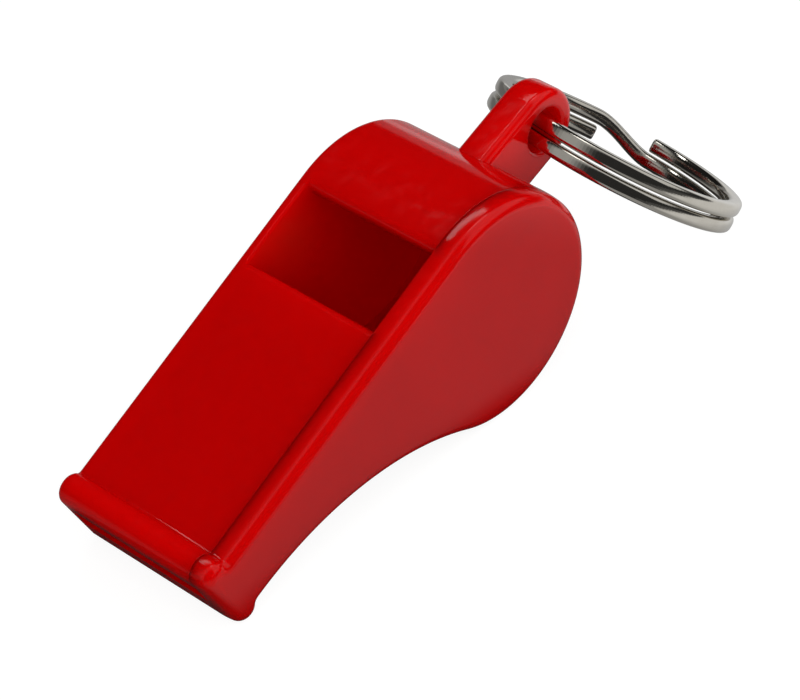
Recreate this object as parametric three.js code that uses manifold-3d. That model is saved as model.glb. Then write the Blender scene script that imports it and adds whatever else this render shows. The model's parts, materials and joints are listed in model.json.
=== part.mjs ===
// A pea whistle on a split ring, in millimetres, +Z up.
// The whistle lies on its belly: the lower roll of the mouthpiece and the drum touch the ground.
// It is a side-opening moulding, a body closed by a welded side cover, with a loose ball inside,
// and a split ring of two turns hangs from the lug behind the drum.
import * as THREE from "three";
import { mergeVertices } from "three/addons/utils/BufferGeometryUtils.js";
import Module from "manifold-3d";

// Whistle, outside. Its own frame has the drum's axis as origin and Y axis,
// +X towards the lug, and +Z square to the flat top plate.
const whistleWidth = 18.6;
const drumRadius = 11.6;
const mouthReach = 36.3; // drum axis to the square front end of the mouthpiece
const mouthDepth = 7.3; // top plate to underside, at the mouth
const rollRadius = 1.5; // the rounded roll across the mouth end, above and below
const rollFillet = 0.4; // the hollow corner behind each roll
const upperRollHeight = 1.15;
const lowerRollHeight = 0.75;
const bodyEdgeRounding = 0.6;
const coverEdgeRounding = 1.0;
const coverEdgeDepth = 1.65; // how far the oval rounding of the cover's edge runs back along Y

// Whistle, walls and inside
const drumWall = 1.5;
const plateWall = 1.5;
const farWall = 1.15;
const coverPlate = 2.2;
const weldGap = 0.3; // the fine groove left round the welded cover
const slotHeightAtMouth = 2.6;
const slotHeightAtWindow = 1.5;
const windwayFloor = 1.2;
const pocketInset = 8.9; // solid lip in front of the hollow under the windway
const pocketRearWall = 1.4;
const undersideWall = 1.5;

// Window in the top plate, measured forwards from the drum axis
const windowFront = 9.5;
const windowRear = 0.85;
const windowEdgeRounding = 0.6;

// Locating rib on the inside of the cover
const ribHeight = 1.0;
const ribThickness = 0.8;
const ribClearance = 0.3;
const ribStartDegrees = -170;
const ribEndDegrees = 70;

// Lug behind the drum
const lugReach = 17.1; // drum axis to the hole's axis
const lugRise = 0.6; // the hole's axis above the drum axis
const lugDroop = 5; // degrees the lug points down from the top plate's direction
const lugEndRadius = 3.95;
const lugThickness = 3.75;
const lugOffset = 0.2; // the lug's middle plane from the middle of the width, to the far side
const lugEdgeRounding = 0.7;
const lugHoleDiameter = 4.5;
const lugHoleRounding = 0.35;
const holeSides = 40;

// Ball in the drum
const ballDiameter = 9.6;
const ballClearance = 0.3;
const ballSides = 32;
const ballRings = 24;

// Split ring: flat wire wound in two turns, with a jog where it changes layer
const ringOuterDiameter = 25.7;
const wireWidth = 1.5; // across the ring's rim
const wireHeight = 1.31; // along the ring's axis
const wireEdge = 0.3; // rounding of the wire's four long edges
const turnGap = 0.44;
const jogStartDegrees = 57;
const jogEndDegrees = 26;
const upperEndDegrees = 28;
const lowerEndDegrees = 55;
const ringLean = 41; // degrees the ring's axis leans from upright
const ringYaw = -8.8; // degrees the ring is turned about the vertical
const ringSlip = -4.3; // degrees the ring has slid round through the lug
const ringStepsPerTurn = 60;
const gapProbes = 720; // points along the wire at which the gap between its turns is measured
const leastTurnApart = 300; // degrees along the wire from which two places count as two turns

const arcStep = THREE.MathUtils.degToRad(6);
const edgeSteps = 4;
const mergeDistance = 1e-4;

const red = new THREE.MeshStandardMaterial({ color: 0xb30406, roughness: 0.22, metalness: 0 });
const coverRed = new THREE.MeshStandardMaterial({ color: 0xaa0a0c, roughness: 0.24, metalness: 0 });
const cork = new THREE.MeshStandardMaterial({ color: 0xb98a58, roughness: 0.85, metalness: 0 });
const nickel = new THREE.MeshStandardMaterial({ color: 0xc9c5bb, roughness: 0.18, metalness: 1 });

const wasm = await Module();
wasm.setup();

// A closed geometry as a solid that can be joined and cut.
function solidFrom(geometry) {
  const bare = new THREE.BufferGeometry();
  const source = geometry.index ? geometry.toNonIndexed() : geometry;
  bare.setAttribute("position", source.getAttribute("position"));
  const merged = mergeVertices(bare, mergeDistance);
  return new wasm.Manifold(
    new wasm.Mesh({
      numProp: 3,
      vertProperties: new Float32Array(merged.attributes.position.array),
      triVerts: new Uint32Array(merged.index.array),
    }),
  );
}

function geometryFrom(solid) {
  const mesh = solid.getMesh();
  const geometry = new THREE.BufferGeometry();
  geometry.setAttribute("position", new THREE.BufferAttribute(mesh.vertProperties, 3));
  geometry.setIndex(new THREE.BufferAttribute(mesh.triVerts, 1));
  geometry.computeVertexNormals();
  return geometry;
}

// Points along an arc, angles in radians, counter-clockwise when the angle grows.
function arc(x, z, radius, from, to) {
  const steps = Math.max(2, Math.ceil(Math.abs(to - from) / arcStep));
  return Array.from({ length: steps + 1 }, (unused, i) => {
    const angle = from + ((to - from) * i) / steps;
    return new THREE.Vector2(x + radius * Math.cos(angle), z + radius * Math.sin(angle));
  });
}

// A plain outline, drawn in X and Z, pushed out along Y from lowY to highY.
function prism(outline, lowY, highY) {
  const shape = new THREE.Shape(outline);
  const geometry = new THREE.ExtrudeGeometry(shape, { depth: highY - lowY, bevelEnabled: false });
  geometry.rotateX(Math.PI / 2);
  geometry.translate(0, highY, 0);
  return solidFrom(geometry);
}

// A prism along Y whose two flat ends meet its sides in a round edge. outlineAt(inset) gives the
// outline moved inwards by an inset, always with as many points, and runs counter-clockwise.
// The lower edge is oval where its depth along Y isn't its rounding.
function roundedPrism(outlineAt, lowY, highY, lowRounding, highRounding, lowDepth = lowRounding) {
  const levels = [];
  for (let i = 0; i <= edgeSteps; i++) {
    const turn = (Math.PI / 2) * (1 - i / edgeSteps);
    const inset = lowRounding * (1 - Math.cos(turn));
    levels.push([lowY + lowDepth * (1 - Math.sin(turn)), outlineAt(inset)]);
    if (lowRounding === 0) break;
  }
  for (let i = 0; i <= edgeSteps; i++) {
    const turn = (Math.PI / 2) * (highRounding === 0 ? 1 : i / edgeSteps);
    const inset = highRounding * (1 - Math.cos(turn));
    levels.push([highY - highRounding * (1 - Math.sin(turn)), outlineAt(inset)]);
    if (highRounding === 0) break;
  }
  const count = levels[0][1].length;
  const points = levels.flatMap(([y, outline]) => outline.flatMap((point) => [point.x, y, point.y]));
  const faces = [];
  for (let level = 0; level < levels.length - 1; level++)
    for (let k = 0; k < count; k++) {
      const here = level * count + k;
      const next = level * count + ((k + 1) % count);
      faces.push(here, next + count, next, here, here + count, next + count);
    }
  const last = (levels.length - 1) * count;
  for (const [i, j, k] of THREE.ShapeUtils.triangulateShape(levels[0][1], []))
    faces.push(i, j, k);
  for (const [i, j, k] of THREE.ShapeUtils.triangulateShape(levels.at(-1)[1], []))
    faces.push(last + i, last + k, last + j);
  const geometry = new THREE.BufferGeometry();
  geometry.setAttribute("position", new THREE.Float32BufferAttribute(points, 3));
  geometry.setIndex(faces);
  return solidFrom(geometry);
}

// The whistle's side outline. Every arc runs smoothly into the next, so the outline can be inset
// by making each outward arc smaller and each hollow arc larger.
const topZ = drumRadius;
const undersideZ = topZ - mouthDepth;
const rollX = rollRadius - mouthReach;
const upperRollZ = topZ + upperRollHeight - rollRadius;
const lowerRollZ = undersideZ - lowerRollHeight + rollRadius;

// How far round its roll a fillet of the flat wall behind it begins
function filletTurn(height) {
  return Math.asin((rollRadius + rollFillet - height) / (rollRadius + rollFillet));
}

function filletX(height) {
  return rollX + (rollRadius + rollFillet) * Math.cos(filletTurn(height));
}

// The hollow curve under the mouthpiece leaves the neck level and meets the drum without a corner.
const neckX = filletX(lowerRollHeight);
const drop = drumRadius - mouthDepth;
const blendRadius = (neckX ** 2 + drop ** 2 - drumRadius ** 2) / (2 * (drumRadius + drop));
const blendZ = undersideZ - blendRadius;
const blendAngle = Math.atan2(-blendZ, -neckX);

function whistleOutline(inset) {
  const upper = filletTurn(upperRollHeight);
  const lower = filletTurn(lowerRollHeight);
  const fillet = rollFillet + inset;
  const roll = rollRadius - inset;
  const upperFilletX = filletX(upperRollHeight);
  return [
    ...arc(upperFilletX, topZ + rollFillet, fillet, (3 * Math.PI) / 2, Math.PI + upper),
    ...arc(rollX, upperRollZ, roll, upper, Math.PI).slice(1),
    ...arc(rollX, lowerRollZ, roll, Math.PI, 2 * Math.PI - lower),
    ...arc(neckX, undersideZ - rollFillet, fillet, Math.PI - lower, Math.PI / 2).slice(1),
    ...arc(neckX, blendZ, blendRadius + inset, Math.PI / 2, blendAngle).slice(1),
    ...arc(0, 0, drumRadius - inset, blendAngle - Math.PI, Math.PI / 2).slice(1),
  ];
}

// The hollow of the drum and the windway that leads into it
const chamberRadius = drumRadius - drumWall;
const plateUnderside = topZ - plateWall;
const floorEnd = windowFront + weldGap;

function chamberOutline() {
  return arc(0, 0, chamberRadius, 0, 2 * Math.PI).slice(1);
}

function windwayFloorZ(x) {
  const fall = (slotHeightAtMouth - slotHeightAtWindow) / (mouthReach - floorEnd);
  return plateUnderside - slotHeightAtWindow + fall * (x + floorEnd);
}

function windwayOutline() {
  const outside = -mouthReach - rollRadius;
  return [
    new THREE.Vector2(0, plateUnderside),
    new THREE.Vector2(outside, plateUnderside),
    new THREE.Vector2(outside, windwayFloorZ(outside)),
    new THREE.Vector2(-floorEnd, windwayFloorZ(-floorEnd)),
    new THREE.Vector2(-floorEnd, 0),
    new THREE.Vector2(0, 0),
  ];
}

// The hollow between the windway floor and the underside, open only towards the cover
function pocketOutline() {
  const front = -mouthReach + pocketInset;
  const rear = -chamberRadius - pocketRearWall;
  const radius = blendRadius + undersideWall;
  const angleAt = (x) => Math.acos((x - neckX) / radius);
  return [
    new THREE.Vector2(rear, windwayFloorZ(rear) - windwayFloor),
    new THREE.Vector2(front, windwayFloorZ(front) - windwayFloor),
    ...arc(neckX, blendZ, radius, angleAt(front), angleAt(rear)),
  ];
}

// The window's cut flares at the outer surface, so both its edges are rounded.
function windowOutline() {
  const r = windowEdgeRounding;
  const above = topZ + upperRollHeight;
  return [
    new THREE.Vector2(-windowFront, plateUnderside - plateWall),
    new THREE.Vector2(-windowRear, plateUnderside - plateWall),
    ...arc(-windowRear + r, topZ - r, r, Math.PI, Math.PI / 2),
    new THREE.Vector2(-windowRear + r, above),
    new THREE.Vector2(-windowFront - r, above),
    ...arc(-windowFront - r, topZ - r, r, Math.PI / 2, 0),
  ];
}

// The lug's tongue. Its root runs on into the drum, where the cut of the chamber trims it.
function lugOutline(inset) {
  const droop = THREE.MathUtils.degToRad(-lugDroop);
  const root = lugReach - drumRadius / 2;
  const radius = lugEndRadius - inset;
  const flat = [new THREE.Vector2(-root, radius), new THREE.Vector2(-root, -radius)];
  return [...flat, ...arc(0, 0, radius, -Math.PI / 2, Math.PI / 2)].map((point) =>
    point.rotateAround(new THREE.Vector2(), droop).add(new THREE.Vector2(lugReach, lugRise)),
  );
}

// The lug's hole with rounded rims, as a turned plug along Y
function lugHolePlug() {
  const radius = lugHoleDiameter / 2;
  const face = lugThickness / 2;
  const outside = face + lugEdgeRounding;
  const r = lugHoleRounding;
  const lowerRim = arc(radius + r, -face + r, r, -Math.PI / 2, -Math.PI);
  const upperRim = arc(radius + r, face - r, r, Math.PI, Math.PI / 2);
  const profile = [
    new THREE.Vector2(0, -outside),
    new THREE.Vector2(radius + r, -outside),
    ...lowerRim,
    ...upperRim,
    new THREE.Vector2(radius + r, outside),
    new THREE.Vector2(0, outside),
  ];
  const geometry = new THREE.LatheGeometry(profile, holeSides);
  geometry.translate(lugReach, lugOffset, lugRise);
  return solidFrom(geometry);
}

const nearFace = -whistleWidth / 2;
const farFace = whistleWidth / 2;
const coverInside = nearFace + coverPlate;
const bodyEdge = coverInside + weldGap;
const farInside = farFace - farWall;

function makeBody() {
  const near = lugOffset - lugThickness / 2;
  const far = near + lugThickness;
  const lug = roundedPrism(lugOutline, near, far, lugEdgeRounding, lugEdgeRounding);
  const hollows = [chamberOutline(), windwayOutline(), pocketOutline(), windowOutline()];
  let body = roundedPrism(whistleOutline, bodyEdge, farFace, 0, bodyEdgeRounding).add(lug);
  for (const hollow of hollows) body = body.subtract(prism(hollow, nearFace, farInside));
  return body.subtract(lugHolePlug());
}

function makeCover() {
  const outer = chamberRadius - ribClearance;
  const inner = outer - ribThickness;
  const from = THREE.MathUtils.degToRad(ribStartDegrees);
  const to = THREE.MathUtils.degToRad(ribEndDegrees);
  const ribOutline = [...arc(0, 0, outer, from, to), ...arc(0, 0, inner, to, from)];
  const rib = prism(ribOutline, coverInside - coverPlate / 2, coverInside + ribHeight);
  const oval = [coverEdgeRounding, 0, coverEdgeDepth];
  return roundedPrism(whistleOutline, nearFace, coverInside, ...oval).add(rib);
}

// The split ring's wire in the ring's own frame: centre at the origin, axis along Z,
// the lug at 180 degrees and the upper turn on the +Z side.
const ringRadius = (ringOuterDiameter - wireWidth) / 2;
const turnPitch = wireHeight + turnGap;

function wireAngle(share) {
  const sweep = 720 + upperEndDegrees - lowerEndDegrees;
  return upperEndDegrees - sweep * share;
}

function wireLayer(degrees) {
  const jog = (jogStartDegrees - 360 - degrees) / (jogStartDegrees - jogEndDegrees);
  return turnPitch * (0.5 - THREE.MathUtils.smoothstep(jog, 0, 1));
}

function wireSection() {
  const halfWidth = wireWidth / 2;
  const halfHeight = wireHeight / 2;
  const corners = [
    [halfWidth, halfHeight - wireEdge],
    [halfWidth - wireEdge, halfHeight],
  ];
  const mirrored = corners.map(([x, z]) => [-x, z]).reverse();
  const upper = [...corners, ...mirrored];
  return [...upper, ...upper.map(([x, z]) => [-x, -z])];
}

// One unbroken wire: a ring of section points at each step, closed by a flat cut at both ends.
function makeRing() {
  const section = wireSection();
  const sides = section.length;
  const steps = 2 * ringStepsPerTurn;
  const points = [];
  const faces = [];
  for (let i = 0; i <= steps; i++) {
    const degrees = wireAngle(i / steps);
    const angle = THREE.MathUtils.degToRad(degrees);
    const z = wireLayer(degrees);
    for (const [across, along] of section) {
      const radius = ringRadius + across;
      points.push(radius * Math.cos(angle), radius * Math.sin(angle), z + along);
    }
  }
  for (let i = 0; i < steps; i++)
    for (let k = 0; k < sides; k++) {
      const here = i * sides + k;
      const next = i * sides + ((k + 1) % sides);
      faces.push(here, next, next + sides, here, next + sides, here + sides);
    }
  const last = steps * sides;
  for (let k = 1; k < sides - 1; k++)
    faces.push(0, k + 1, k, last, last + k, last + k + 1);
  const geometry = new THREE.BufferGeometry();
  geometry.setAttribute("position", new THREE.Float32BufferAttribute(points, 3));
  geometry.setIndex(faces);
  return geometryFrom(solidFrom(geometry));
}

// The least gap between the two turns, measured on points of the wire's middle line.
function leastTurnGap() {
  const middle = Array.from({ length: gapProbes + 1 }, (unused, i) => {
    const degrees = wireAngle(i / gapProbes);
    const angle = THREE.MathUtils.degToRad(degrees);
    const x = ringRadius * Math.cos(angle);
    const y = ringRadius * Math.sin(angle);
    return { degrees, point: new THREE.Vector3(x, y, wireLayer(degrees)) };
  });
  let least = Infinity;
  for (const a of middle)
    for (const b of middle)
      if (a.degrees - b.degrees > leastTurnApart)
        least = Math.min(least, a.point.distanceTo(b.point) - wireHeight);
  return least;
}

function named(name, geometry, material) {
  const mesh = new THREE.Mesh(geometry, material);
  mesh.name = name;
  return mesh;
}

// The whistle is pitched until its lower roll and its drum touch the same ground.
const rollToDrum = Math.hypot(rollX, lowerRollZ);
const pitch =
  Math.atan2(lowerRollZ, -rollX) + Math.asin((drumRadius - rollRadius) / rollToDrum);

const whistle = new THREE.Group();
whistle.rotation.y = -pitch;
whistle.position.z = drumRadius;
whistle.add(named("whistle_body", geometryFrom(makeBody()), red));
whistle.add(named("side_cover", geometryFrom(makeCover()), coverRed));
whistle.updateMatrixWorld(true);

// The ball lies at the lowest place of the drum, against the cover's side.
const ballOrbit = chamberRadius - ballDiameter / 2 - ballClearance;
const ball = named("ball", new THREE.SphereGeometry(ballDiameter / 2, ballSides, ballRings), cork);
ball.position.set(0, coverInside + ballDiameter / 2 + ballClearance, drumRadius - ballOrbit);

// The ring hangs with its wire through the middle of the lug's hole.
const hole = whistle.localToWorld(new THREE.Vector3(lugReach, lugOffset, lugRise));
const slip = THREE.MathUtils.degToRad(ringSlip);
const ring = named("split_ring", makeRing(), nickel);
ring.rotation.z = slip;
ring.position.set(ringRadius * Math.cos(slip), ringRadius * Math.sin(slip), 0);
const ringStand = new THREE.Group();
ringStand.position.copy(hole);
ringStand.rotation.order = "ZYX";
ringStand.rotation.z = THREE.MathUtils.degToRad(ringYaw);
ringStand.rotation.y = THREE.MathUtils.degToRad(ringLean);
ringStand.add(ring);

// The whole keyring is moved so that the middle of its box stands over the origin, on the ground.
const keyring = new THREE.Group();
keyring.add(whistle, ball, ringStand);
const box = new THREE.Box3().setFromObject(keyring, true);
const middle = box.getCenter(new THREE.Vector3());
keyring.position.set(-middle.x, -middle.y, -box.min.z);
keyring.updateMatrixWorld(true);

console.log("least gap between the ring's turns", leastTurnGap().toFixed(3), "mm");

export default keyring;
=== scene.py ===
# %% [markdown]
# # A pea whistle on a split ring
# The object is a small give-away whistle of red moulded plastic, with a nickel split ring through
# the lug behind its drum. The solid model of it comes first, as a frame that holds every size and
# joint. This lesson then makes the finished surfaces over that frame, one piece at a time.

import json
import math

import bmesh
import bpy
from mathutils import Matrix, Quaternion, Vector, noise

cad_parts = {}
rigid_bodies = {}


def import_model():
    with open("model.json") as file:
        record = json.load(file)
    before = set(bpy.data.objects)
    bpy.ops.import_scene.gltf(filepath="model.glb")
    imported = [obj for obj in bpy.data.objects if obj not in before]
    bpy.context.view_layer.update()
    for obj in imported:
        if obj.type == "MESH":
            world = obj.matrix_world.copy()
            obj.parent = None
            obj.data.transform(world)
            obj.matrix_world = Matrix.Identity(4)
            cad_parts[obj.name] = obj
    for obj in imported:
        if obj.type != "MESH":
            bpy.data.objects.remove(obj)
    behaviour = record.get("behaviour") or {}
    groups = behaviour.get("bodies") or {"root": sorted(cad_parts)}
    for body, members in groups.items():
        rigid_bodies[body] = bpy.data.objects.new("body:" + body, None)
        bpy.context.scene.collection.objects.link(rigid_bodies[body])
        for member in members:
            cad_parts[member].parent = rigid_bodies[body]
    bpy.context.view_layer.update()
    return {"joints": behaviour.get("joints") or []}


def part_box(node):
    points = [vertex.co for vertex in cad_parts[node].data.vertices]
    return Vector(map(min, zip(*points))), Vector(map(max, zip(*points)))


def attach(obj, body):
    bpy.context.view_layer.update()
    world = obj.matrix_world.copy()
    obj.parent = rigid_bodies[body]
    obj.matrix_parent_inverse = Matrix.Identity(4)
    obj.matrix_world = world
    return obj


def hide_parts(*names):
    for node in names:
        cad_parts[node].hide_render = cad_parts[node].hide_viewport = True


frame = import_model()

# %% [markdown]
# ## Two places to work in
# The whistle lies pitched, with its mouth on the ground, and the ring leans. Drawing either of them
# where it lies would need awkward numbers, so each is drawn in its own upright frame in
# millimetres, and one matrix then carries it to its place in metres. The two matrices start from
# the joints of the solid model: the drum's axis and the axis of the lug's hole.

# %% Where the whistle and the ring lie
LUG_REACH = 17.1
LUG_RISE = 0.6

joint_place = {joint["name"]: Vector(joint["pos_m"]) for joint in frame["joints"]}
drum_axis = joint_place["ball_roll"]
hole_axis = joint_place["ring_swing"]
lean_of_line = math.atan2(hole_axis.z - drum_axis.z, hole_axis.x - drum_axis.x)
pitch = lean_of_line - math.atan2(LUG_RISE, LUG_REACH)
to_metres = Matrix.Scale(0.001, 4)
whistle_place = Matrix.Translation(drum_axis) @ Matrix.Rotation(-pitch, 4, "Y") @ to_metres
print("the whistle is pitched by", round(math.degrees(pitch), 2), "degrees")

# %% [markdown]
# ## Drawing an outline like a draughtsman
# The whistle's side view is nothing but straight lines and arcs that run smoothly into each other.
# Instead of listing its points, a vertex is walked round: `extrude_vert_indiv` draws a straight
# move, and `spin` draws an arc and divides it evenly. Because each arc starts where the last one
# ended, the same walk with smaller outward arcs and larger hollow ones gives an outline that is
# inset everywhere by the same amount. Lengths are in millimetres and turns in degrees.

# %% Helpers that draw and push out an outline
ARC_STEP = 1.5
SAME_POINT = 0.001
RIM_SEGMENTS = 6


def parts_of(kind, geometry):
    """The vertices, edges or faces among an operator's results."""
    return [part for part in geometry if isinstance(part, kind)]


def step_on(bm, tip, move):
    """Draws a straight edge from a vertex and returns its new end."""
    tip = bmesh.ops.extrude_vert_indiv(bm, verts=[tip])["verts"][0]
    tip.co += Vector(move)
    return tip


def arc_on(bm, tip, centre, axis, turn, steps):
    """Draws an arc from a vertex and returns its new end."""
    drawn = bmesh.ops.spin(
        bm, geom=[tip], cent=centre, axis=axis, angle=math.radians(turn), steps=steps,
        use_merge=False)
    return parts_of(bmesh.types.BMVert, drawn["geom_last"])[0]


def walk(start, moves):
    """Points of a closed outline in X and Z: a move is (x, z) or an arc's (radius, from, to)."""
    path = bmesh.new()
    tip = path.verts.new((start[0], 0, start[1]))
    for move in moves:
        if len(move) == 2:
            tip = step_on(path, tip, (move[0], 0, move[1]))
            continue
        radius, begin, end = move
        turn = math.radians(begin)
        centre = tip.co - radius * Vector((math.cos(turn), 0, math.sin(turn)))
        steps = max(2, math.ceil(abs(end - begin) / ARC_STEP))
        tip = arc_on(path, tip, centre, (0, -1, 0), end - begin, steps)
    bmesh.ops.remove_doubles(path, verts=path.verts, dist=SAME_POINT)
    points = [vert.co.copy() for vert in path.verts]
    path.free()
    return points


def draw_outline(bm, start, moves, y):
    """Draws the walk as one flat face at this Y."""
    return bm.faces.new([bm.verts.new((point.x, y, point.z)) for point in walk(start, moves)])


def push_out(bm, face, move):
    """Pushes a face out into a closed solid whose faces point outwards."""
    pushed = bmesh.ops.extrude_face_region(bm, geom=[face])["geom"]
    bmesh.ops.translate(bm, verts=parts_of(bmesh.types.BMVert, pushed), vec=move)
    bmesh.ops.recalc_face_normals(bm, faces=bm.faces)


def slab(outline, start_y, end_y):
    """A new bmesh with an outline's solid from one Y to the other."""
    bm = bmesh.new()
    push_out(bm, draw_outline(bm, *outline, start_y), (0, end_y - start_y, 0))
    return bm


def round_edges(bm, edges, radius, segments):
    """Rounds edges with a bevel."""
    bmesh.ops.bevel(
        bm, geom=edges, offset=radius, segments=segments, profile=0.5, affect="EDGES",
        clamp_overlap=False, material=-1)


def round_rim(bm, y, radius, segments=RIM_SEGMENTS):
    """Rounds every edge that lies in the plane at this Y."""
    rim = [
        edge for edge in bm.edges if all(abs(vert.co.y - y) < SAME_POINT for vert in edge.verts)]
    round_edges(bm, rim, radius, segments)


def new_piece(name, bm):
    """Turns a bmesh into an object in the scene."""
    mesh = bpy.data.meshes.new(name)
    bm.to_mesh(mesh)
    bm.free()
    piece = bpy.data.objects.new(name, mesh)
    bpy.context.scene.collection.objects.link(piece)
    return piece


def combine(piece, tool, operation):
    """Joins or cuts a piece with a tool, keeps the result as plain mesh, and drops the tool."""
    boolean = piece.modifiers.new("combine", "BOOLEAN")
    boolean.operation = operation
    boolean.solver = "EXACT"
    boolean.object = tool
    result = piece.evaluated_get(bpy.context.evaluated_depsgraph_get())
    mesh = bpy.data.meshes.new_from_object(result)
    piece.modifiers.clear()
    piece.data = mesh
    bpy.data.objects.remove(tool)


def smooth_over(piece, place, sharp_degrees=30):
    """Carries a piece to its place and shades it smooth, with its real corners kept crisp."""
    piece.data.transform(place)
    piece.data.shade_smooth()
    piece.data.set_sharp_from_angle(angle=math.radians(sharp_degrees))
    weighted = piece.modifiers.new("even shading", "WEIGHTED_NORMAL")
    weighted.keep_sharp = True
    print(piece.name, "has", len(piece.data.polygons), "faces")


# %% [markdown]
# ## The whistle's side view
# On the real whistle the body and its welded side cover share one outline, since the two are
# moulded to match and then read as one form. It has a flat top plate, a rounded roll for the teeth
# above and below the mouth, a long hollow curve under the mouthpiece, and the round drum. The
# function returns that walk for any inset, so the body, the cover and the weld between them all
# come from it.

# %% The outline shared by the body and the cover
WIDTH = 18.6
DRUM_RADIUS = 11.6
MOUTH_REACH = 36.3
MOUTH_DEPTH = 7.3
ROLL_RADIUS = 1.5
ROLL_FILLET = 0.4
UPPER_ROLL_HEIGHT = 1.15
LOWER_ROLL_HEIGHT = 0.75

top_z = DRUM_RADIUS
underside_z = top_z - MOUTH_DEPTH
roll_x = ROLL_RADIUS - MOUTH_REACH


def fillet_turn(height):
    """How far round its roll the fillet behind it begins, in degrees."""
    reach = ROLL_RADIUS + ROLL_FILLET
    return math.degrees(math.asin((reach - height) / reach))


def fillet_x(height):
    """Where a fillet as high as this runs out into the straight behind it."""
    return roll_x + (ROLL_RADIUS + ROLL_FILLET) * math.cos(math.radians(fillet_turn(height)))


neck_x = fillet_x(LOWER_ROLL_HEIGHT)
drop = DRUM_RADIUS - MOUTH_DEPTH
blend_radius = (neck_x**2 + drop**2 - DRUM_RADIUS**2) / (2 * (DRUM_RADIUS + drop))
blend_end = math.degrees(math.atan2(blend_radius - underside_z, -neck_x))


def whistle_outline(inset):
    """Start and moves of the side view, inset all round."""
    upper = fillet_turn(UPPER_ROLL_HEIGHT)
    lower = fillet_turn(LOWER_ROLL_HEIGHT)
    roll = ROLL_RADIUS - inset
    fillet = ROLL_FILLET + inset
    front = MOUTH_DEPTH + UPPER_ROLL_HEIGHT + LOWER_ROLL_HEIGHT - 2 * ROLL_RADIUS
    start = (fillet_x(UPPER_ROLL_HEIGHT), top_z - inset)
    moves = [
        (fillet, 270, 180 + upper),
        (roll, upper, 180),
        (0, -front),
        (roll, 180, 360 - lower),
        (fillet, 180 - lower, 90),
        (blend_radius + inset, 90, blend_end),
        (DRUM_RADIUS - inset, blend_end - 180, 90),
    ]
    return start, moves


# %% [markdown]
# ## The moulded body
# The body is one moulding: far wall, top plate, mouthpiece, drum and lug. A moulder thinks of it as
# a block with rounded edges and one hollow drawn out towards the cover side, and it is made the
# same way here. The block is pushed out from the outline and its rim is rounded by a bevel. The
# groove of the weld gets a much smaller rounding, because a welded joint shows as a fine line that
# catches the light.

# %% Block of the body
COVER_PLATE = 2.2
SEAM_GROOVE = 0.02
SEAM_ROUNDING = 0.03
SEAM_SEGMENTS = 3
FAR_ROUNDING = 0.6

near_face = -WIDTH / 2
far_face = WIDTH / 2
cover_inside = near_face + COVER_PLATE
seam_y = cover_inside + SEAM_GROOVE

bm = slab(whistle_outline(0), seam_y, far_face)
round_rim(bm, far_face, FAR_ROUNDING)
round_rim(bm, seam_y, SEAM_ROUNDING, SEAM_SEGMENTS)
body = new_piece("moulded_body", bm)
print("body block:", len(body.data.polygons), "faces")

# %% [markdown]
# ## The lug
# The lug is a flat tongue with a round end, thinner than the whistle and a little off its middle.
# Its edges are rounder than the body's. It runs well into the drum, so that the union trims it to
# the drum's curve outside, and the cut of the hollow trims it inside.

# %% Lug joined to the drum
LUG_DROOP = 5
LUG_END_RADIUS = 3.95
LUG_THICKNESS = 3.75
LUG_OFFSET = 0.2
LUG_ROUNDING = 0.85
LUG_ROOT = 11.3

lug_near = LUG_OFFSET - LUG_THICKNESS / 2
lug_far = LUG_OFFSET + LUG_THICKNESS / 2
tongue = [(LUG_ROOT, 0), (LUG_END_RADIUS, -90, 90), (-LUG_ROOT, 0)]
bm = slab(((-LUG_ROOT, -LUG_END_RADIUS), tongue), lug_near, lug_far)
round_rim(bm, lug_near, LUG_ROUNDING)
round_rim(bm, lug_far, LUG_ROUNDING)
droop = Matrix.Rotation(math.radians(LUG_DROOP), 4, "Y")
bm.transform(Matrix.Translation((LUG_REACH, 0, LUG_RISE)) @ droop)
combine(body, new_piece("lug", bm), "UNION")
print("body with lug:", len(body.data.polygons), "faces")

# %% [markdown]
# ## The hollow inside
# Air goes in at the slot in the mouth, along the flat windway, past the window and round the drum.
# Seen from the side, all of that is one shape, so one cutter makes it in one go: three quarters of
# a turn round the drum, up to the windway's floor, out at the mouth, back under the top plate and
# up through the window, whose front and rear edges flare at the surface. A second, small cutter
# rounds the window's far edge. The hollow under the windway isn't cut, because the cover hides it.

# %% Hollow, windway and window cut out
DRUM_WALL = 1.5
PLATE_WALL = 1.5
FAR_WALL = 1.15
SLOT_AT_MOUTH = 2.6
SLOT_AT_WINDOW = 1.5
FLOOR_END = 9.8
WINDOW_FRONT = 9.5
WINDOW_REAR = 0.85
WINDOW_ROUNDING = 0.75
FAR_EDGE_ROUNDING = 0.3
FAR_EDGE_STEPS = 10
OUTSIDE = 2.0

chamber_radius = DRUM_RADIUS - DRUM_WALL
plate_underside = top_z - PLATE_WALL
lip_turn = 180 - math.degrees(math.acos(FLOOR_END / chamber_radius))
lip_height = chamber_radius * math.sin(math.radians(lip_turn))
floor_at_window = plate_underside - SLOT_AT_WINDOW
floor_length = MOUTH_REACH - FLOOR_END
floor_slope = (SLOT_AT_MOUTH - SLOT_AT_WINDOW) / floor_length
floor_run = floor_length + OUTSIDE
wall_left = PLATE_WALL - WINDOW_ROUNDING
window_width = WINDOW_FRONT - WINDOW_REAR + 2 * WINDOW_ROUNDING

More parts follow.
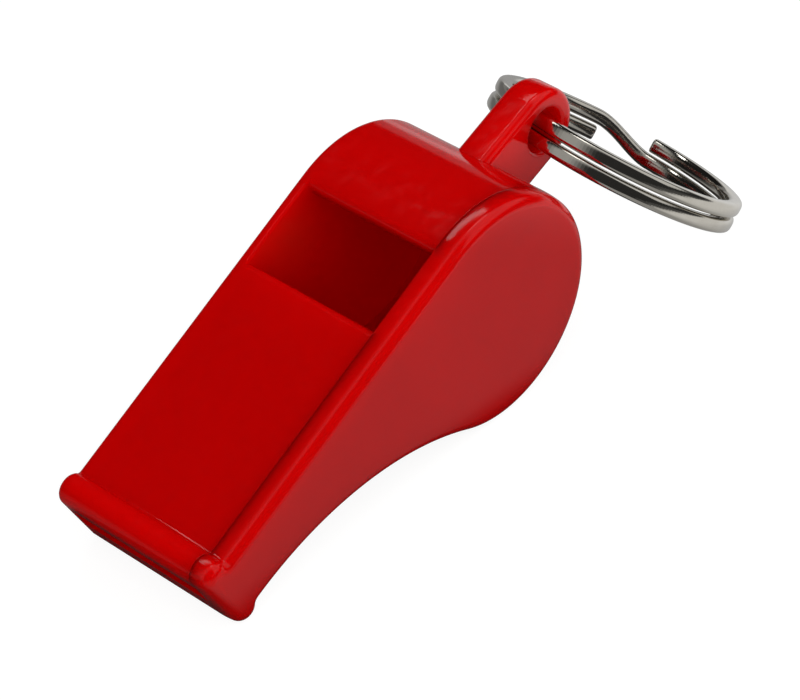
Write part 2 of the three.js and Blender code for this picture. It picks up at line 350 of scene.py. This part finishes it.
hollow = [
    (chamber_radius, 90, lip_turn - 360),
    (0, floor_at_window - lip_height),
    (-floor_run, -floor_run * floor_slope),
    (0, SLOT_AT_WINDOW + floor_run * floor_slope),
    (floor_run + FLOOR_END - WINDOW_FRONT, 0),
    (0, wall_left),
    (WINDOW_ROUNDING, 0, 90),
    (0, OUTSIDE),
    (window_width, 0),
    (0, -OUTSIDE),
    (WINDOW_ROUNDING, 90, 180),
    (0, -wall_left),
]
far_inside = far_face - FAR_WALL
bm = slab(((0, plate_underside), hollow), near_face, far_inside)
combine(body, new_piece("hollow", bm), "DIFFERENCE")

bm = bmesh.new()
corner = bm.verts.new((-WINDOW_FRONT, far_inside, top_z - FAR_EDGE_ROUNDING))
centre = corner.co + Vector((0, FAR_EDGE_ROUNDING, 0))
corner = arc_on(bm, corner, centre, (-1, 0, 0), 90, FAR_EDGE_STEPS)
for move in [
        (0, 0, OUTSIDE),
        (0, -FAR_EDGE_ROUNDING - OUTSIDE, 0),
        (0, 0, -OUTSIDE - FAR_EDGE_ROUNDING)]:
    corner = step_on(bm, corner, move)
section = bmesh.ops.contextual_create(bm, geom=bm.verts)["faces"][0]
push_out(bm, section, (WINDOW_FRONT - WINDOW_REAR, 0, 0))
combine(body, new_piece("far_edge", bm), "DIFFERENCE")
print("hollow body:", len(body.data.polygons), "faces")

# %% [markdown]
# ## The hole in the lug
# A moulded hole is never a plain cylinder: its rims are rounded, so the ring slides through. The
# cutter is turned like a spool, with a flange on each side of the lug. Half of its profile is drawn
# once and spun a full turn about the hole's axis.

# %% Hole with rounded rims
HOLE_DIAMETER = 4.4
HOLE_ROUNDING = 0.4
HOLE_STEPS = 72
FLANGE = 1

flange_radius = HOLE_DIAMETER / 2 + HOLE_ROUNDING
straight = LUG_THICKNESS - 2 * HOLE_ROUNDING
bm = bmesh.new()
tip = bm.verts.new((0, -LUG_THICKNESS / 2 - FLANGE, 0))
for move in [
        (flange_radius, 0, 0), (0, FLANGE, 0), "rim", (0, straight, 0), "rim", (0, FLANGE, 0),
        (-flange_radius, 0, 0)]:
    if move == "rim":
        towards_middle = HOLE_ROUNDING if tip.co.y < 0 else 0
        centre = (flange_radius, tip.co.y + towards_middle, 0)
        tip = arc_on(bm, tip, centre, (0, 0, -1), 90, RIM_SEGMENTS)
    else:
        tip = step_on(bm, tip, move)
bmesh.ops.spin(
    bm, geom=bm.verts[:] + bm.edges[:], cent=(0, 0, 0), axis=(0, 1, 0), angle=math.tau,
    steps=HOLE_STEPS, use_merge=True)
bmesh.ops.remove_doubles(bm, verts=bm.verts, dist=SAME_POINT / 2)
bmesh.ops.recalc_face_normals(bm, faces=bm.faces)
bmesh.ops.translate(bm, verts=bm.verts, vec=(LUG_REACH, LUG_OFFSET, LUG_RISE))
combine(body, new_piece("spool", bm), "DIFFERENCE")
smooth_over(body, whistle_place)

# %% [markdown]
# ## The side cover
# The near side is a second moulding, a plate of the same outline that is welded on after the ball
# has gone in. Its rim isn't straight: it narrows a little towards the outside, as every moulding
# does so that it leaves the mould, and it ends in a broad rounding. Where the two meet there is a
# faint edge. That slightly crowned rim is what lights up as a streak on the drum. A profile of
# pairs, each a Y and an inset, holds that rim. The outline is pushed out from one Y to the next,
# and each time its points move to the same walk with the larger inset. Behind the plate a land,
# inset all round, fills the weld so that the groove has a floor, and a curved rib locates the cover
# inside the drum. Land and rib start inside the plate, so that the unions have something to bite.

# %% Cover plate with its land and rib
COVER_ROUNDING = 0.8
RIM_DRAFT = 9
EDGE_START = 14
RIM_STEPS = 6
EDGE_STEPS = 14
COVER_SEAM_ROUNDING = 0.02
COVER_SEAM_SEGMENTS = 2
LAND_INSET = 0.025
BITE = 0.4
RIB_HEIGHT = 1.0
RIB_THICKNESS = 0.8
RIB_CLEARANCE = 0.3
RIB_START = -170
RIB_TURN = 240
RIB_STEPS = 80

rim_depth = COVER_PLATE - COVER_ROUNDING
crown_radius = rim_depth / math.sin(math.radians(RIM_DRAFT))
crown = crown_radius * (1 - math.cos(math.radians(RIM_DRAFT)))
edge_sine = math.sin(math.radians(EDGE_START))
edge_radius = COVER_ROUNDING / (1 - edge_sine)

profile = []
for step in range(RIM_STEPS + 1):
    turn = math.radians(RIM_DRAFT * step / RIM_STEPS)
    profile.append(
        (cover_inside - crown_radius * math.sin(turn), crown_radius * (1 - math.cos(turn))))
for step in range(1, EDGE_STEPS + 1):
    turn = math.radians(EDGE_START + (90 - EDGE_START) * step / EDGE_STEPS)
    inwards = edge_radius * (math.cos(math.radians(EDGE_START)) - math.cos(turn))
    outwards = rim_depth + edge_radius * (math.sin(turn) - edge_sine)
    profile.append((cover_inside - outwards, crown + inwards))

bm = bmesh.new()
outline = draw_outline(bm, *whistle_outline(profile[0][1]), profile[0][0])
for y, inset in profile[1:]:
    pushed = bmesh.ops.extrude_face_region(bm, geom=[outline] + outline.edges[:])["geom"]
    outline = parts_of(bmesh.types.BMFace, pushed)[0]
    for vert, point in zip(outline.verts, walk(*whistle_outline(inset))):
        vert.co = (point.x, y, point.z)
bmesh.ops.recalc_face_normals(bm, faces=bm.faces)
print("edges of the cover plate without two faces:", sum(not edge.is_manifold for edge in bm.edges))
round_rim(bm, cover_inside, COVER_SEAM_ROUNDING, COVER_SEAM_SEGMENTS)
cover = new_piece("welded_cover", bm)
print("cover's flat side is inset by", round(profile[-1][1], 2), "mm")

bite_start = cover_inside - BITE
bm = slab(whistle_outline(LAND_INSET), bite_start, cover_inside + SEAM_GROOVE / 2)
combine(cover, new_piece("land", bm), "UNION")

bm = bmesh.new()
rib_inner = chamber_radius - RIB_CLEARANCE - RIB_THICKNESS
corner = bm.verts.new((rib_inner, bite_start, 0))
for move in [(RIB_THICKNESS, 0, 0), (0, BITE + RIB_HEIGHT, 0), (-RIB_THICKNESS, 0, 0)]:
    corner = step_on(bm, corner, move)
section = bmesh.ops.contextual_create(bm, geom=bm.verts)["faces"]
bmesh.ops.spin(
    bm, geom=section, cent=(0, 0, 0), axis=(0, -1, 0), angle=math.radians(RIB_TURN),
    steps=RIB_STEPS, use_merge=False)
bmesh.ops.recalc_face_normals(bm, faces=bm.faces)
bm.transform(Matrix.Rotation(math.radians(-RIB_START), 4, "Y"))
combine(cover, new_piece("rib", bm), "UNION")
smooth_over(cover, whistle_place)

# %% [markdown]
# ## The ball
# A whistle's pea is a ball pressed from ground cork. It is far from a perfect sphere, so a fine
# icosphere is taken and each point is pushed in or out a little by smooth noise. It lies where the
# solid ball lies, at the bottom of the drum.

# %% Cork ball
BALL_DIAMETER = 9.6
BALL_UNEVENNESS = 0.05
LUMPS_PER_MM = 0.9
LUMP_FALLOFF, LUMP_SPACING, LUMP_OCTAVES = 1.0, 2.0, 4

low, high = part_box("ball")
ball_centre = (Vector(low) + Vector(high)) / 2
bm = bmesh.new()
bmesh.ops.create_icosphere(bm, subdivisions=5, radius=BALL_DIAMETER / 2 - BALL_UNEVENNESS)
for vert in bm.verts:
    swell = noise.fractal(
        vert.co * LUMPS_PER_MM, LUMP_FALLOFF, LUMP_SPACING, LUMP_OCTAVES)
    vert.co += vert.co.normalized() * BALL_UNEVENNESS * max(-1, min(1, swell))
ball = new_piece("cork_ball", bm)
ball.data.transform(Matrix.Translation(ball_centre) @ to_metres)
ball.data.shade_smooth()
print("ball centre, mm:", [round(value * 1000, 2) for value in ball_centre])

# %% [markdown]
# ## The split ring
# The ring is one flat wire wound in two turns, and it changes layer in a short jog. That is exactly
# what `spin` does: the wire's section is spun round the ring's axis, and in the jog each step also
# lifts it by a share of the pitch. The share follows an S-curve, so the wire leaves one layer and
# reaches the other without a kink. Rolling leaves no face of the wire quite flat, and those crowned
# faces are what draws long thin streaks of light along a split ring. So the section is a circle
# that is squared off: the larger the squareness, the nearer it comes to a rectangle.

# %% Wire section spun in two turns
RING_DIAMETER = 25.62
WIRE_WIDTH = 1.5
WIRE_HEIGHT = 1.42
TURN_GAP = 0.22
WIRE_SQUARENESS = 3.2
WIRE_SIDES = 32
WIRE_STEP = 1.5
UPPER_END = 28
JOG_START = -303
JOG_END = -334
LOWER_END = -665

ring_radius = (RING_DIAMETER - WIRE_WIDTH) / 2
turn_pitch = WIRE_HEIGHT + TURN_GAP


def wire_layer(degrees):
    """Height of the wire's middle over the ring's middle plane."""
    share = max(0.0, min(1.0, (JOG_START - degrees) / (JOG_START - JOG_END)))
    return turn_pitch * (0.5 - share * share * (3 - 2 * share))


def squared_off(coordinate):
    """Moves a coordinate of the unit circle out towards the sides of a square."""
    return math.copysign(abs(coordinate) ** (2 / WIRE_SQUARENESS), coordinate)


bm = bmesh.new()
bmesh.ops.create_circle(bm, cap_ends=True, segments=WIRE_SIDES, radius=1)
for vert in bm.verts:
    vert.co.x = squared_off(vert.co.x) * WIRE_WIDTH / 2
    vert.co.y = squared_off(vert.co.y) * WIRE_HEIGHT / 2
bmesh.ops.rotate(bm, verts=bm.verts, matrix=Matrix.Rotation(math.radians(90), 3, "X"))
bmesh.ops.translate(bm, verts=bm.verts, vec=(ring_radius, 0, turn_pitch / 2))
bmesh.ops.rotate(
    bm, verts=bm.verts, matrix=Matrix.Rotation(math.radians(UPPER_END), 3, "Z"))

face = bm.faces[:]
degrees = UPPER_END
count = round((UPPER_END - LOWER_END) / WIRE_STEP)
step_degrees = (UPPER_END - LOWER_END) / count
for step in range(count):
    lift = wire_layer(degrees - step_degrees) - wire_layer(degrees)
    spun = bmesh.ops.spin(
        bm, geom=face, cent=(0, 0, 0), axis=(0, 0, -1), dvec=(0, 0, lift),
        angle=math.radians(step_degrees), steps=1, use_merge=False)
    face = parts_of(bmesh.types.BMFace, spun["geom_last"])
    degrees -= step_degrees
bmesh.ops.recalc_face_normals(bm, faces=bm.faces)
print("wire's end reached", round(degrees, 1), "degrees,", len(bm.faces), "faces, open edges:",
      sum(edge.is_boundary for edge in bm.edges))

# %% [markdown]
# ## Blunt ends and a map along the wire
# The drawn wire carries fine lines along its length, so its metal needs a map that follows it. The
# map's first number is the length along the wire and the second the way round its section, both in
# millimetres. It is worked out before the ring is tipped into its place, while the angle and the
# radius still say where a point is.

# %% Ends rounded, map written and ring placed
END_ROUNDING = 0.12
END_SEGMENTS = 2
RING_YAW = -8.8
RING_LEAN = 41
RING_SLIP = -4.3
RING_SHARP_DEGREES = 50

ends = [face for face in bm.faces if len(face.verts) > 4]
end_edges = list({edge for face in ends for edge in face.edges})
round_edges(bm, end_edges, END_ROUNDING, END_SEGMENTS)

uv = bm.loops.layers.uv.new("wire")
for face in bm.faces:
    middle = face.calc_center_median()
    turn = math.atan2(middle.y, middle.x)
    for loop in face.loops:
        place = loop.vert.co
        swing = math.atan2(place.y, place.x) - turn
        swing -= math.tau * round(swing / math.tau)
        across = math.hypot(place.x, place.y) - ring_radius
        loop[uv].uv = ((turn + swing) * ring_radius, across + place.z)

ring_place = (
    Matrix.Translation(hole_axis)
    @ Matrix.Rotation(math.radians(RING_YAW), 4, "Z")
    @ Matrix.Rotation(math.radians(RING_LEAN), 4, "Y")
    @ Matrix.Rotation(math.radians(RING_SLIP), 4, "Z")
    @ to_metres
    @ Matrix.Translation((ring_radius, 0, 0)))
ring = new_piece("wound_ring", bm)
smooth_over(ring, ring_place, RING_SHARP_DEGREES)

# %% [markdown]
# ## Nodes without clutter
# Every finish is a small tree of nodes. One helper adds a node with its settings and its links, so
# a material reads as a list of what the surface is made of. Colours are written as they are picked
# on a screen, and one function turns them into the linear light that the shader works in.

# %% Helpers for materials


def linear(colour):
    """A screen colour such as 0xB30406 as linear red, green, blue and alpha."""
    channels = [((colour >> shift) & 255) / 255 for shift in (16, 8, 0)]
    return [c / 12.92 if c <= 0.04045 else ((c + 0.055) / 1.055) ** 2.4 for c in channels] + [1]


def add_node(tree, kind, settings=None, **inputs):
    """Adds a node. A value sets an input, and a socket of another node is linked to it."""
    node = tree.nodes.new(kind)
    for name, value in (settings or {}).items():
        setattr(node, name, value)
    for name, value in inputs.items():
        key = int(name[1:]) if name[0] == "i" and name[1:].isdigit() else name.replace("_", " ")
        socket = node.inputs[key]
        if isinstance(value, bpy.types.NodeSocket):
            tree.links.new(value, socket)
        else:
            socket.default_value = value
    return node


def new_material(name):
    """A material with an empty node tree, and that tree."""
    material = bpy.data.materials.new(name)
    material.use_nodes = True
    material.node_tree.nodes.clear()
    return material, material.node_tree


# %% [markdown]
# ## Red moulded polystyrene
# Polystyrene comes out of a polished steel mould with a wet-looking gloss, and solid pigment makes
# it opaque. Three things keep it from looking like a flat colour. Pigment flows unevenly, so the
# red drifts a little over a few millimetres. The surface has a very shallow orange peel, which
# makes reflections waver. Pockets and keys leave fine scuffs, which show as small dull patches in
# the gloss.

# %% Moulded polystyrene
SCUFF_ROUGHNESS = 0.1


def moulded_polystyrene(name, colour, deep_colour, roughness):
    """A plastic that drifts between two reds, with a shallow peel and dull scuffs."""
    material, tree = new_material(name)
    place = add_node(tree, "ShaderNodeTexCoord").outputs["Object"]
    flow = add_node(tree, "ShaderNodeTexNoise", Vector=place, Scale=160.0, Detail=3.0)
    red = add_node(
        tree, "ShaderNodeMix", {"data_type": "RGBA"}, Factor=flow.outputs["Fac"],
        A=linear(colour), B=linear(deep_colour))
    scuff = add_node(tree, "ShaderNodeTexNoise", Vector=place, Scale=900.0, Detail=6.0)
    dull = add_node(
        tree, "ShaderNodeMapRange", Value=scuff.outputs["Fac"], From_Min=0.45, From_Max=0.75,
        To_Min=roughness, To_Max=roughness + SCUFF_ROUGHNESS)
    peel = add_node(tree, "ShaderNodeTexNoise", Vector=place, Scale=1100.0, Detail=1.0)
    bump = add_node(
        tree, "ShaderNodeBump", Height=peel.outputs["Fac"], Strength=0.04, Distance=0.00008)
    plastic = add_node(
        tree, "ShaderNodeBsdfPrincipled", {"subsurface_method": "RANDOM_WALK"},
        Base_Color=red.outputs["Result"], Roughness=dull.outputs["Result"],
        Normal=bump.outputs["Normal"], IOR=1.55, Specular_IOR_Level=0.25, Subsurface_Weight=0.85,
        Subsurface_Radius=(10.0, 0.15, 0.12), Subsurface_Scale=0.001)
    add_node(tree, "ShaderNodeOutputMaterial", Surface=plastic.outputs["BSDF"])
    return material


body_plastic = moulded_polystyrene("red_polystyrene", 0xC80001, 0xC00000, 0.09)
# The cover is the same red plastic, but its copy is darker: painted shade on the near side face,
# which the lamps light more brightly than the top.
shaded_cover_plastic = moulded_polystyrene("cover_polystyrene_painted_shade", 0xC20001, 0xBA0000, 0.10)

# %% [markdown]
# ## Pressed cork
# Cork granules are about a millimetre across, each of its own brown, pressed together with darker
# gaps and small pits. A Voronoi pattern gives the granules and their edges.

# %% Cork
GRANULES_PER_METRE = 1100.0

cork, tree = new_material("pressed_cork")
place = add_node(tree, "ShaderNodeTexCoord").outputs["Object"]
grain = add_node(tree, "ShaderNodeTexVoronoi", Vector=place, Scale=GRANULES_PER_METRE)
edges = add_node(
    tree, "ShaderNodeTexVoronoi", {"feature": "DISTANCE_TO_EDGE"}, Vector=place,
    Scale=GRANULES_PER_METRE)
tone = add_node(tree, "ShaderNodeSeparateColor", Color=grain.outputs["Color"])
brown = add_node(
    tree, "ShaderNodeMix", {"data_type": "RGBA"}, Factor=tone.outputs["Red"],
    A=linear(0xC79A63), B=linear(0x8F6236))
gap = add_node(
    tree, "ShaderNodeMapRange", Value=edges.outputs["Distance"], From_Min=0.0, From_Max=0.08)
colour = add_node(
    tree, "ShaderNodeMix", {"data_type": "RGBA"}, Factor=gap.outputs["Result"],
    A=linear(0x4A2F18), B=brown.outputs["Result"])
pits = add_node(
    tree, "ShaderNodeBump", Height=gap.outputs["Result"], Strength=0.6, Distance=0.00015)
surface = add_node(
    tree, "ShaderNodeBsdfPrincipled", Base_Color=colour.outputs["Result"], Roughness=0.85,
    Normal=pits.outputs["Normal"])
add_node(tree, "ShaderNodeOutputMaterial", Surface=surface.outputs["BSDF"])

# %% [markdown]
# ## Bright nickel plate
# Nickel is a warm, slightly yellow grey next to chrome. The plating is thin and bright, so it keeps
# the fine lines of the drawn wire underneath. Those lines run along the wire, so they are noise
# that is stretched along the first number of the wire's map. Small rubbed spots make the gloss
# uneven.

# %% Nickel
nickel, tree = new_material("bright_nickel_plate")
wire_map = add_node(tree, "ShaderNodeUVMap", {"uv_map": "wire"}).outputs["UV"]
stretched = add_node(tree, "ShaderNodeMapping", Vector=wire_map, Scale=(0.12, 3.2, 1.0))
lines = add_node(
    tree, "ShaderNodeTexNoise", Vector=stretched.outputs["Vector"], Scale=1.0, Detail=2.0)
place = add_node(tree, "ShaderNodeTexCoord").outputs["Object"]
rubbed = add_node(tree, "ShaderNodeTexNoise", Vector=place, Scale=700.0, Detail=5.0)
gloss = add_node(
    tree, "ShaderNodeMapRange", Value=rubbed.outputs["Fac"], From_Min=0.4, From_Max=0.7,
    To_Min=0.09, To_Max=0.14)
warmth = add_node(
    tree, "ShaderNodeMix", {"data_type": "RGBA"}, Factor=rubbed.outputs["Fac"],
    A=linear(0xD2CEC5), B=linear(0xC2BDB2))
relief = add_node(
    tree, "ShaderNodeBump", Height=lines.outputs["Fac"], Strength=0.6, Distance=0.00002)
metal = add_node(
    tree, "ShaderNodeBsdfPrincipled", Base_Color=warmth.outputs["Result"], Metallic=1.0,
    Roughness=gloss.outputs["Result"], Normal=relief.outputs["Normal"])
add_node(tree, "ShaderNodeOutputMaterial", Surface=metal.outputs["BSDF"])

# %% [markdown]
# ## Each piece on its body
# A finished piece stands for a solid of the frame, whose node it hides, gets its finish, and
# moves with a body: the cover and the moulding with the whistle, the ball and the ring by
# themselves.

# %% Pieces tied to the frame


def dress(piece, node, body_name, material):
    """Gives a piece its finish, ties it to its body, and hides the node that it stands for."""
    piece.data.materials.clear()
    piece.data.materials.append(material)
    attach(piece, body_name)
    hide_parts(node)


dress(body, "whistle_body", "whistle", body_plastic)
dress(cover, "side_cover", "whistle", shaded_cover_plastic)
dress(ball, "ball", "ball", cork)
dress(ring, "split_ring", "ring", nickel)

# %% [markdown]
# ## The camera
# The photograph was taken from in front of the mouth, above and to the near side, with a longish
# lens. The camera is aimed at a point on the whistle and then rolled a little, since the
# photographer held it a few degrees off level.

# %% Camera
CAMERA_PLACE = (-0.16706, -0.17011, 0.21337)
CAMERA_AIM = (-0.01087, -0.00676, 0.01609)
CAMERA_ROLL = -5.605
LENS = 157.16
SENSOR_WIDTH = 36
NEAREST_SEEN = 0.01

camera_data = bpy.data.cameras.new("camera")
camera_data.lens = LENS
camera_data.sensor_width = SENSOR_WIDTH
camera_data.clip_start = NEAREST_SEEN
camera = bpy.data.objects.new("camera", camera_data)
bpy.context.scene.collection.objects.link(camera)
camera.location = CAMERA_PLACE
view = (Vector(CAMERA_AIM) - Vector(CAMERA_PLACE)).to_track_quat("-Z", "Y")
roll = Quaternion((0, 0, 1), math.radians(CAMERA_ROLL))
camera.rotation_euler = (view @ roll).to_euler()
bpy.context.scene.camera = camera

# %% [markdown]
# ## The floor
# The whistle lies on white paper that is so bright in the photograph that it has no edge. The
# camera, and anything clear, sees the floor glow white, with a small share of plain matt paper
# mixed in, which keeps the soft shadow under the object. Gloss and metal see a painted reflection:
# for glossy rays the floor glows by where it lies, with a painted shadow under the whistle, painted
# grey beyond the mouth, painted light beside the ring, and painted dark again further in front of
# the whistle, which draws the dark lines along the wire. Glossy rays also see the matt paper
# darker, as painted shade. For all other light the floor is matt paper.

# %% Floor
FLOOR_RADIUS = 0.5
FLOOR_SIDES = 96
FLOOR_GLOW = 0.9
PAINTED_SHADOW_SHIFT = (0.3, -0.26, 0.0)
PAINTED_SHADOW_SCALE = (20.0, 87.0, 0.0)
PAST_MOUTH = (-0.6, 0.8, 0.0)
PAST_LUG = (0.8, -0.6, 0.0)

bm = bmesh.new()
bmesh.ops.create_circle(bm, cap_ends=True, segments=FLOOR_SIDES, radius=FLOOR_RADIUS)
floor = new_piece("floor", bm)
paper, tree = new_material("paper_with_painted_gloss")
path = add_node(tree, "ShaderNodeLightPath")
seen = add_node(
    tree, "ShaderNodeMath", {"operation": "MAXIMUM"}, i0=path.outputs["Is Camera Ray"],
    i1=path.outputs["Is Transmission Ray"])
place = add_node(tree, "ShaderNodeTexCoord").outputs["Object"]
# Painted shadow for glossy rays: an ellipse under the whistle where the mirrored floor goes dark.
under = add_node(
    tree, "ShaderNodeMapping", Vector=place, Location=PAINTED_SHADOW_SHIFT, Scale=PAINTED_SHADOW_SCALE)
outwards = add_node(
    tree, "ShaderNodeVectorMath", {"operation": "LENGTH"}, i0=under.outputs["Vector"])
painted_shadow_under_whistle = add_node(
    tree, "ShaderNodeMapRange", {"interpolation_type": "SMOOTHSTEP"},
    Value=outwards.outputs["Value"], From_Min=1.0, From_Max=1.25, To_Min=0.05, To_Max=1.0)
# Painted reflection: grey past the mouth, light beside the ring, dark further in front of the
# whistle.
past_mouth = add_node(
    tree, "ShaderNodeVectorMath", {"operation": "DOT_PRODUCT"}, i0=place, i1=PAST_MOUTH)
painted_grey_past_mouth = add_node(
    tree, "ShaderNodeMapRange", {"interpolation_type": "SMOOTHSTEP"},
    Value=past_mouth.outputs["Value"], From_Min=0.008, From_Max=0.035, To_Min=0.36, To_Max=0.16)
past_lug = add_node(
    tree, "ShaderNodeVectorMath", {"operation": "DOT_PRODUCT"}, i0=place, i1=PAST_LUG)
painted_light_by_ring = add_node(
    tree, "ShaderNodeMapRange", {"interpolation_type": "SMOOTHSTEP"},
    Value=past_lug.outputs["Value"], From_Min=0.028, From_Max=0.042, To_Min=0.0, To_Max=0.42)
painted_lights = add_node(
    tree, "ShaderNodeMath", {"operation": "ADD"}, i0=painted_grey_past_mouth.outputs["Result"],
    i1=painted_light_by_ring.outputs["Result"])
towards_room = add_node(tree, "ShaderNodeSeparateXYZ", Vector=place).outputs["Y"]
painted_dark_front = add_node(
    tree, "ShaderNodeMapRange", {"interpolation_type": "SMOOTHSTEP"}, Value=towards_room,
    From_Min=-0.085, From_Max=-0.05, To_Min=0.08, To_Max=1.0)
painted_sheet = add_node(
    tree, "ShaderNodeMath", {"operation": "MULTIPLY"}, i0=painted_lights.outputs[0],
    i1=painted_dark_front.outputs["Result"])
painted_floor_reflection = add_node(
    tree, "ShaderNodeMath", {"operation": "MULTIPLY"}, i0=painted_shadow_under_whistle.outputs["Result"],
    i1=painted_sheet.outputs[0])
# Only glossy rays see this painted reflection in the floor's glow.
mirrored = add_node(
    tree, "ShaderNodeMath", {"operation": "MULTIPLY"}, i0=path.outputs["Is Glossy Ray"],
    i1=painted_floor_reflection.outputs[0])
glow_strength = add_node(
    tree, "ShaderNodeMath", {"operation": "MULTIPLY_ADD"}, i0=seen.outputs[0],
    i1=FLOOR_GLOW, i2=mirrored.outputs[0])
# Glossy rays see the paper darker, as painted shade.
painted_shade_in_gloss = add_node(
    tree, "ShaderNodeMix", {"data_type": "RGBA"}, Factor=path.outputs["Is Glossy Ray"],
    A=linear(0x6E6E6C), B=linear(0x202020))
matt = add_node(tree, "ShaderNodeBsdfDiffuse", Color=painted_shade_in_gloss.outputs["Result"])
glow = add_node(
    tree, "ShaderNodeEmission", Color=linear(0xFFFFFF), Strength=glow_strength.outputs[0])
both = add_node(tree, "ShaderNodeAddShader", i0=matt.outputs[0], i1=glow.outputs[0])
add_node(tree, "ShaderNodeOutputMaterial", Surface=both.outputs[0])
floor.data.materials.append(paper)

# %% [markdown]
# ## Light from the room
# What the gloss mirrors decides how deep the red looks. Behind the whistle the room is a low pale
# surround under a dark wall, and that wall is what the flat top plate mirrors, so the plate keeps
# its deep red. On the near side the room glows only close to overhead, which draws the thin light
# line along the cover's rim. Towards the ring stands a window, bright from a little above the table
# upwards, which gives the wire its pale faces. The same world gives the even fill light that
# reaches every side.

# %% World
FILL_LIGHT = 0.33
BACKDROP = 1.0
ACROSS = (0.25, 1.0, 0.0)

world = bpy.data.worlds.new("room")
bpy.context.scene.world = world
world.use_nodes = True
tree = world.node_tree
tree.nodes.clear()
path = add_node(tree, "ShaderNodeLightPath")
direction = add_node(tree, "ShaderNodeTexCoord").outputs["Generated"]
parts = add_node(tree, "ShaderNodeSeparateXYZ", Vector=direction)
height = parts.outputs["Z"]
towards_lug = parts.outputs["X"]
surround = add_node(
    tree, "ShaderNodeMapRange", Value=towards_lug, From_Min=-0.2, From_Max=0.2, To_Min=0.08,
    To_Max=0.25)
wall_side = add_node(
    tree, "ShaderNodeMapRange", Value=height, From_Min=0.125, From_Max=0.150,
    To_Min=surround.outputs["Result"], To_Max=0.012)
window_side = add_node(
    tree, "ShaderNodeMapRange", {"interpolation_type": "SMOOTHSTEP"}, Value=height,
    From_Min=0.20, From_Max=0.36, To_Min=0.03, To_Max=0.72)
across = add_node(
    tree, "ShaderNodeVectorMath", {"operation": "DOT_PRODUCT"}, i0=direction, i1=ACROSS)
overhead_glow = add_node(
    tree, "ShaderNodeMapRange", {"interpolation_type": "SMOOTHSTEP"},
    Value=across.outputs["Value"], From_Min=-0.50, From_Max=-0.15, To_Min=0.03, To_Max=0.45)
towards_ring = add_node(
    tree, "ShaderNodeMapRange", {"interpolation_type": "SMOOTHSTEP"}, Value=towards_lug,
    From_Min=0.06, From_Max=0.20)
near_side = add_node(
    tree, "ShaderNodeMix", {"data_type": "FLOAT"}, Factor=towards_ring.outputs["Result"],
    A=overhead_glow.outputs["Result"], B=window_side.outputs["Result"])
side = add_node(
    tree, "ShaderNodeMapRange", {"interpolation_type": "SMOOTHSTEP"},
    Value=across.outputs["Value"], From_Min=0.30, From_Max=0.05)
ceiling = add_node(
    tree, "ShaderNodeMix", {"data_type": "FLOAT"}, Factor=side.outputs["Result"],
    A=wall_side.outputs["Result"], B=near_side.outputs["Result"])
seen = add_node(
    tree, "ShaderNodeMath", {"operation": "MAXIMUM"}, i0=path.outputs["Is Camera Ray"],
    i1=path.outputs["Is Transmission Ray"])
reflected = add_node(
    tree, "ShaderNodeMix", {"data_type": "FLOAT"}, Factor=path.outputs["Is Glossy Ray"],
    A=FILL_LIGHT, B=ceiling.outputs["Result"])
strength = add_node(
    tree, "ShaderNodeMix", {"data_type": "FLOAT"}, Factor=seen.outputs[0],
    A=reflected.outputs["Result"], B=BACKDROP)
light = add_node(
    tree, "ShaderNodeBackground", Color=linear(0xFFFFFF), Strength=strength.outputs["Result"])
add_node(tree, "ShaderNodeOutputWorld", Surface=light.outputs[0])

# %% [markdown]
# ## Soft lamps
# Three large soft boxes light the whistle: one on the side of the ring, one overhead, and a low one
# in front of the near side, which the cover faces. They shape the red but would show as patches in
# the gloss, so they aren't mirrored. What is mirrored are two narrow panels near the ceiling: one
# draws the pale band along the back of the drum, the other the short streak on the cover's rim.

# %% Lamps
LAMP_DISTANCE = 0.45


def soft_box(name, towards, width, depth, watts, mirrored=True):
    """An area lamp that faces the whistle from a direction, mirrored in its gloss or not."""
    data = bpy.data.lights.new(name, "AREA")
    data.shape = "RECTANGLE"
    data.size = width
    data.size_y = depth
    data.energy = watts
    lamp = bpy.data.objects.new(name, data)
    bpy.context.scene.collection.objects.link(lamp)
    back = Vector(towards).normalized()
    lamp.location = back * LAMP_DISTANCE
    up = back.cross(Vector((1, 0, 0))).normalized()
    lamp.rotation_euler = Matrix((up.cross(back), up, back)).transposed().to_euler()
    lamp.visible_glossy = mirrored


soft_box("key", (0.60, -0.45, 0.62), 0.30, 0.30, 0.64, mirrored=False)
soft_box("overhead", (-0.50, -0.30, 0.81), 0.30, 0.30, 0.82, mirrored=False)
soft_box("front_fill", (-0.20, -0.93, 0.30), 0.50, 0.50, 1.1, mirrored=False)
soft_box("ceiling_panel", (0.27, 0.42, 0.87), 0.30, 0.045, 0.16)
soft_box("ceiling_strip", (0.34, 0.05, 0.94), 0.18, 0.08, 0.09)

# %% [markdown]
# ## Finish
# The colours are shown as they are, without a film look.

# %% Colour management
bpy.context.scene.view_settings.view_transform = "Standard"
